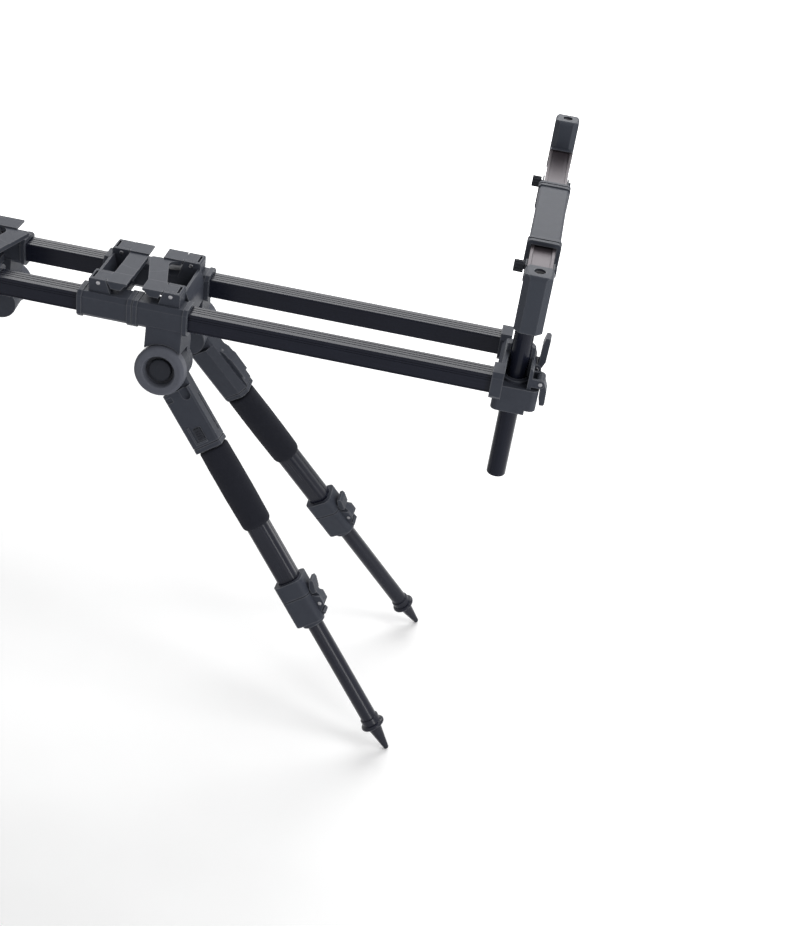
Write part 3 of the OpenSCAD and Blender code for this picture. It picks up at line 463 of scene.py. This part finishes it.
for name, piece in nodes.items():
    piece.data.materials.clear()
    piece.data.materials.append(by_ending(FINISH_BY_ENDING, name, charcoal))
    soften(piece, by_ending(EDGE_BY_ENDING, name, MOULD_EDGE))
print("finished", len(nodes), "solids")

# %% [markdown]
# ## Round pieces
#
# The small pieces that follow are all round, and all are made the same way: rings of points about a line,
# with a band of faces between each ring and the next. Blender's own cylinders would have to be cut and
# bent afterwards, while a ring takes any outline at once.

# %% Helpers for round pieces
def turns(count):
    """Angles at even steps round a circle."""
    return [2 * math.pi * k / count for k in range(count)]


def spokes(side, other, count):
    """Directions all round, from side towards other."""
    return [math.cos(angle) * side + math.sin(angle) * other for angle in turns(count)]


def band(mesh, first, second):
    """Faces between two rings of points."""
    for k in range(len(first)):
        after = (k + 1) % len(first)
        mesh.faces.new((first[k], first[after], second[after], second[k]))


def closed_sleeve(mesh, rings):
    """Bands from ring to ring and from the last back to the first, with all faces turned outwards."""
    for first, second in zip(rings, rings[1:] + rings[:1]):
        band(mesh, first, second)
    bmesh.ops.recalc_face_normals(mesh, faces=mesh.faces)


def turn(mesh, seat, outward, outline, sides):
    """Turns an outline of radius and height about a line, and closes both ends with a flat face."""
    side = outward.orthogonal().normalized()
    around = spokes(side, outward.cross(side), sides)
    rings = []
    for radius, height in outline:
        middle = seat + height * outward
        rings.append([mesh.verts.new(middle + radius * spoke) for spoke in around])
    for lower, upper in zip(rings, rings[1:]):
        band(mesh, lower, upper)
    mesh.faces.new(rings[-1])
    mesh.faces.new(list(reversed(rings[0])))


def finished_piece(name, mesh, finish):
    """Turns a built mesh into a smooth object with its finish."""
    data = bpy.data.meshes.new(name)
    mesh.to_mesh(data)
    mesh.free()
    data.materials.append(finish)
    data.shade_smooth()
    piece = bpy.data.objects.new(name, data)
    scene.collection.objects.link(piece)
    return piece


print("helpers for round pieces ready")

# %% [markdown]
# ## Foam grips
#
# Each leg has a foam sleeve pushed onto its tube. Its ends are cut square and then roll over a little,
# and the foam swells between them. Its rings follow a round outline with rolled ends outside, and the
# tube's own oval inside. The bore lies a hair under the tube's skin, so the sleeve is closed and no gap
# shows.

# %% Work out the grip's outline
GRIP_R, GRIP_LEN = 16.5 * MM, 97 * MM
TOP_ROLL, BOTTOM_ROLL, ROLL_IN = 2.4 * MM, 6.0 * MM, 2.4 * MM
GRIP_SWELL = 0.5 * MM
GRIP_RINGS, ROLL_RINGS = 24, 7


def rolled(to_end, roll):
    """How far a rolled end draws the outline in, at a distance from that end."""
    if to_end >= roll:
        return 0.0
    return ROLL_IN * (1 - math.sqrt(1 - (1 - to_end / roll) ** 2))


def grip_outline():
    """Pairs of distance from the top end and radius, close together where the ends roll over."""
    quarter = [1 - math.cos(math.pi / 2 * k / ROLL_RINGS) for k in range(ROLL_RINGS)]
    body = GRIP_LEN - TOP_ROLL - BOTTOM_ROLL
    stations = [TOP_ROLL * share for share in quarter]
    stations += [TOP_ROLL + body * k / GRIP_RINGS for k in range(GRIP_RINGS + 1)]
    stations += [GRIP_LEN - BOTTOM_ROLL * share for share in reversed(quarter)]
    outline = []
    for at in stations:
        swell = GRIP_SWELL * (1 - math.sin(math.pi * at / GRIP_LEN))
        drawn_in = rolled(at, TOP_ROLL) + rolled(GRIP_LEN - at, BOTTOM_ROLL)
        outline.append((at, GRIP_R - swell - drawn_in))
    return outline


print("grip outline", len(grip_outline()), "rings")

# %% Make the foam grips
CORNERS = ("near_right", "far_right", "near_left", "far_left")
GRIP_FROM, GRIP_SIDES = 99 * MM, 72
GRIP_DENT, DENT_SIZE, DENTED_FROM = 0.12 * MM, 12 * MM, 13.75 * MM
TUBE_W, TUBE_T, TUBE_EDGE_R = 24.1 * MM, 22.1 * MM, 7 * MM
HALVINGS = 40


def oval_reach(angle):
    """Distance from the tube's middle to its rounded outline in a direction, found by halving."""
    ray = Vector((abs(math.cos(angle)), abs(math.sin(angle))))
    straight = Vector((TUBE_W / 2 - TUBE_EDGE_R, TUBE_T / 2 - TUBE_EDGE_R))
    near, far = 0.0, TUBE_W
    for _ in range(HALVINGS):
        reach = (near + far) / 2
        corner = Vector((max(ray.x * reach - straight.x, 0.0), max(ray.y * reach - straight.y, 0.0)))
        near, far = (reach, far) if corner.length < TUBE_EDGE_R else (near, reach)
    return near


def foam_grip(corner):
    swing, slide = joints[f"{corner}_leg_swing"], joints[f"{corner}_leg_plug_out"]
    down, across = Vector(slide["axis"]), Vector(swing["axis"])
    top = Vector(swing["pos_m"]) + GRIP_FROM * down
    around = spokes(across.cross(down), across, GRIP_SIDES)
    bore = [oval_reach(angle) for angle in turns(GRIP_SIDES)]
    mesh = bmesh.new()

    def ring(at, reaches):
        """A ring at a distance down the leg, with slight dents outside and none in the bore."""
        made = []
        for spoke, reach in zip(around, reaches):
            point = top + at * down + reach * spoke
            dent = GRIP_DENT * noise.noise(point / DENT_SIZE) if reach > DENTED_FROM else 0.0
            made.append(mesh.verts.new(point + (dent - GRIP_DENT) * spoke))
        return made

    rings = [ring(0.0, bore)]
    rings += [ring(at, [radius] * GRIP_SIDES) for at, radius in grip_outline()]
    rings.append(ring(GRIP_LEN, bore))
    closed_sleeve(mesh, rings)
    return finished_piece(f"{corner}_foam", mesh, foam_finish)


for corner in CORNERS:
    grip = foam_grip(corner)
    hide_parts(f"{corner}_grip")
    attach(grip, f"{corner}_leg")
    print(grip.name, len(grip.data.vertices), "corners")

# %% [markdown]
# ## Bright pin ends
#
# Each lever turns on a steel pin. Its ends show as bright dots on the lugs, and they are what tells the
# eye that the lever is hinged. A pin end is a low dome, seated over the pin's end and turned about the
# lever's own axis, which the frame gives, so it is in place at once.

# %% Make the pin ends
PIN_R, PIN_TOP_R = 2.15 * MM, 0.86 * MM
PIN_SIDE, PIN_ROUND = 0.36 * MM, 0.33 * MM
PIN_SIDES, ROUND_STEPS = 24, 5
HEAD_OUT = 35.5 * MM
U_PIN_HALF, LEG_PIN_HALF, END_PIN_HALF = 10.35 * MM, 8.55 * MM, 9.35 * MM


def pin_dome():
    """The outline of a pin end: a straight side that rounds over to a flat top."""
    outline = [(PIN_R, 0.0)]
    for k in range(ROUND_STEPS + 1):
        angle = math.pi / 2 * k / ROUND_STEPS
        radius = PIN_TOP_R + (PIN_R - PIN_TOP_R) * math.cos(angle)
        outline.append((radius, PIN_SIDE + PIN_ROUND * math.sin(angle)))
    return outline


def both_ends(middle, half):
    """A pin's ends: how far along the lever's axis each lies, and which way it faces."""
    return ((middle - half, -1), (middle + half, 1))


def pin_ends(name, levers, ends, body):
    """The pin ends of one body's levers, as one piece."""
    mesh = bmesh.new()
    for lever in levers:
        joint = joints[f"{lever}_open"]
        pin, axis = Vector(joint["pos_m"]), Vector(joint["axis"])
        for offset, way in ends:
            turn(mesh, pin + offset * axis, way * axis, pin_dome(), PIN_SIDES)
    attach(finished_piece(name, mesh, steel_finish), body)
    print(name, len(levers) * len(ends), "ends")


u_ends = both_ends(-HEAD_OUT, U_PIN_HALF) + both_ends(HEAD_OUT, U_PIN_HALF)
pin_ends("joiner_pin_ends", ["joiner_lever"], u_ends, "joiner")
for side in ("right", "left"):
    pin_ends(f"{side}_block_pin_ends", [f"{side}_block_lever"], u_ends, f"{side}_leg_block")
    end_levers = [f"{side}_upper_lever", f"{side}_lower_lever"]
    pin_ends(f"{side}_end_pin_ends", end_levers, both_ends(0.0, END_PIN_HALF), f"{side}_frame")
for corner in CORNERS:
    leg_ends = both_ends(0.0, LEG_PIN_HALF)
    pin_ends(f"{corner}_clamp_pin_ends", [f"{corner}_clamp_lever"], leg_ends, f"{corner}_leg")

# %% [markdown]
# ## Caps in the knobs
#
# In each knob's recess a round cap hides the end of the bolt: a low dome that rises from a dark plate.
# The plate is painted shade: a dark disc laid over the recess floor so that the recess reads dark. Both
# are turned like the pin ends. The outline goes up the plate's edge, in along the floor, and over a dome
# whose shoulder is fuller than an ellipse, because both coordinates are raised to a power below one.

# %% Make the knob caps and their painted-shade plates
# Heights count outwards from the knob's rim, so what lies in the recess has a negative height
# The plate is painted shade; the dome on it is the bolt's cap.
SHADE_PLATE_R, SHADE_PLATE_LOW, SHADE_PLATE_TOP = 14.6 * MM, -9.2 * MM, -8.6 * MM
CAP_R, CAP_SHOULDER, CAP_RISE = 11.8 * MM, -6.8 * MM, 3.4 * MM
CAP_POWER, CAP_STEPS, CAP_SIDES = 0.6, 14, 64
CAP_CORNER = math.radians(40)


def cap_outline():
    """Pairs of radius and height: the painted-shade plate's edge, its floor, and the dome."""
    outline = [(SHADE_PLATE_R, SHADE_PLATE_LOW), (SHADE_PLATE_R, SHADE_PLATE_TOP), (CAP_R, SHADE_PLATE_TOP)]
    for k in range(CAP_STEPS):
        angle = math.pi / 2 * k / CAP_STEPS
        radius = CAP_R * math.cos(angle) ** CAP_POWER
        outline.append((radius, CAP_SHOULDER + CAP_RISE * math.sin(angle) ** CAP_POWER))
    return outline


def knob_cap_on_shade_plate(corner):
    joint = joints[f"{corner}_knob_turn"]
    pivot, outward = Vector(joint["pos_m"]), Vector(joint["axis"])
    rim = max((point.co - pivot).dot(outward) for point in nodes[f"{corner}_knob"].data.vertices)
    mesh = bmesh.new()
    turn(mesh, pivot + rim * outward, outward, cap_outline(), CAP_SIDES)
    cap = finished_piece(f"{corner}_knob_cap_on_shade_plate", mesh, black_moulded)
    cap.data.set_sharp_from_angle(angle=CAP_CORNER)
    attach(cap, f"{corner}_knob")
    print(cap.name, "rim", round(rim / MM, 2), "mm from the pivot")


for corner in CORNERS:
    knob_cap_on_shade_plate(corner)

# %% [markdown]
# ## Threads in the end caps
#
# The hole in each end cap takes the stud of a bite alarm, so it has a steel bush with a thread. A thread
# is one ridge that climbs as it goes round, so the bush's inner radius is a wave of depth plus turn.
# Written that way it needs no sweep: rings of points follow the wave, and an outer wall closes them.

# %% Make the threaded bushes
BUSH_R, BUSH_TOP, BUSH_LEN = 4.7 * MM, 1.6 * MM, 9 * MM
THREAD_R, THREAD_DEEP, THREAD_PITCH = 4.1 * MM, 0.45 * MM, 1.27 * MM
BUSH_SIDES, BUSH_RINGS = 40, 60


def thread_reach(depth, share):
    """The bush's inner radius at a depth and a share of a whole turn."""
    wave = abs(2 * ((depth / THREAD_PITCH + share) % 1.0) - 1)
    return THREAD_R + THREAD_DEEP * wave


def threaded_bush(name, mouth, body):
    around = spokes(Vector(ALONG_X), Vector(ALONG_Y), BUSH_SIDES)
    shares = [k / BUSH_SIDES for k in range(BUSH_SIDES)]
    depths = [BUSH_TOP + BUSH_LEN * k / BUSH_RINGS for k in range(BUSH_RINGS + 1)]
    mesh = bmesh.new()

    def ring(depth, reaches):
        middle = mouth - depth * Vector(ALONG_Z)
        return [mesh.verts.new(middle + reach * spoke) for spoke, reach in zip(around, reaches)]

    rings = [ring(depth, [thread_reach(depth, share) for share in shares]) for depth in depths]
    rings += [ring(depth, [BUSH_R] * BUSH_SIDES) for depth in (depths[-1], depths[0])]
    closed_sleeve(mesh, rings)
    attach(finished_piece(name, mesh, thread_finish), body)


for mount in mounts:
    corner = mount["name"].replace("alarm_hole_", "")
    threaded_bush(f"{corner}_thread", Vector(mount["pos_m"]), f"{corner}_arm")
print("threaded bushes", len(mounts))

# %% [markdown]
# ## Floor and backdrop
#
# The photograph has a white ground with a soft shadow. The floor is pale and takes real shadow; what the
# camera, or a glossy surface, sees of it is lifted by a little glow, so the ground reads as white and the
# shadow stays. The glow grows away from the middle, where the lamps no longer reach. The world is white
# to the same rays, and dimmer as a light.

# %% Make the floor
FLOOR_HALF, FLOOR_DUST = 20.0, 60 * MM
FLOOR_MATT, FLOOR_GLOSS = 0.9, 0.1
FLOOR_LIFT, LIFT_FROM, LIFT_TO = 0.11, 0.5, 1.6
FLOOR_PALE = rgb(0.90, 0.90, 0.90), rgb(0.93, 0.93, 0.93)
BLACK, WHITE = rgb(0, 0, 0), rgb(1, 1, 1)


def seen_directly(tree):
    """1 for rays from the camera, from gloss and through glass, 0 for light that bounces."""
    camera_ray = Wire.node(tree, "ShaderNodeLightPath", out="Is Camera Ray")
    outputs = camera_ray.socket.node.outputs
    return camera_ray | Wire(outputs["Is Glossy Ray"]) | Wire(outputs["Is Transmission Ray"])


def floor_finish(name):
    constants = {"Roughness": FLOOR_MATT, "Specular IOR Level": FLOOR_GLOSS, "Emission Strength": 1.0}
    finish, tree, shader = new_finish(name, constants)
    where = place(tree)
    dust = grain(tree, where, FLOOR_DUST, SOME_DETAIL)
    away = vector_math(tree, "LENGTH", {0: where}, "Value")
    reach = {"Value": away, "From Min": LIFT_FROM, "From Max": LIFT_TO, "To Min": FLOOR_LIFT, "To Max": 1.0}
    lift = Wire.node(tree, "ShaderNodeMapRange", {"interpolation_type": "SMOOTHSTEP"}, reach)
    connect(tree, shader, {
        "Base Color": mixed(tree, dust, *FLOOR_PALE),
        "Emission Color": mixed(tree, seen_directly(tree) * lift, BLACK, WHITE),
    })
    return finish


floor_mesh = bmesh.new()
bmesh.ops.create_grid(floor_mesh, x_segments=2, y_segments=2, size=FLOOR_HALF)
floor = finished_piece("studio_floor", floor_mesh, floor_finish("pale_floor"))
print("floor", floor.name)

# %% Make the world
AMBIENT = 0.40
world = bpy.data.worlds.new("studio")
world.use_nodes = True
scene.world = world
sky = world.node_tree.nodes["Background"]
sky.inputs["Color"].default_value = WHITE
connect(world.node_tree, sky, {"Strength": AMBIENT + (1 - AMBIENT) * seen_directly(world.node_tree)})
print("world", world.name, "lights at", AMBIENT)

# %% [markdown]
# ## Light
#
# The tops of the rails are pale and their sides nearly black, so the main light stands above and behind,
# where a flat top mirrors it towards the camera. A second lamp overhead gives the shadow, and a weak one
# from the near side opens the front faces. A tall narrow one low on the right draws the bright line along
# each leg. Radiance is what matters for a soft box, so each lamp's power is worked out from radiance and
# area.

# %% Hang the soft boxes
AIM = Vector((0.15, 0.0, 0.40))
# Place, width, height and radiance
SOFT_BOXES = {
    "back_box": (Vector((0.05, 2.0, 1.9)), 2.6, 1.5, 4.7),
    "top_box": (Vector((1.5, -0.1, 2.3)), 1.0, 1.6, 3.5),
    "near_box": (Vector((-1.6, -2.2, 1.5)), 1.2, 1.2, 0.6),
    "side_box": (Vector((1.65, -1.3, 0.56)), 0.4, 1.0, 8.0),
}
for name, (at, width, height, radiance) in SOFT_BOXES.items():
    lamp = bpy.data.lights.new(name, "AREA")
    lamp.shape = "RECTANGLE"
    lamp.size = width
    lamp.size_y = height
    lamp.energy = math.pi * width * height * radiance
    box = bpy.data.objects.new(name, lamp)
    box.location = at
    box.rotation_euler = (AIM - at).to_track_quat("-Z", "Y").to_euler()
    box.visible_camera = False
    scene.collection.objects.link(box)
    print(name, round(lamp.energy, 1), "W")

# %% [markdown]
# ## Size
#
# Dressing must not change the size.
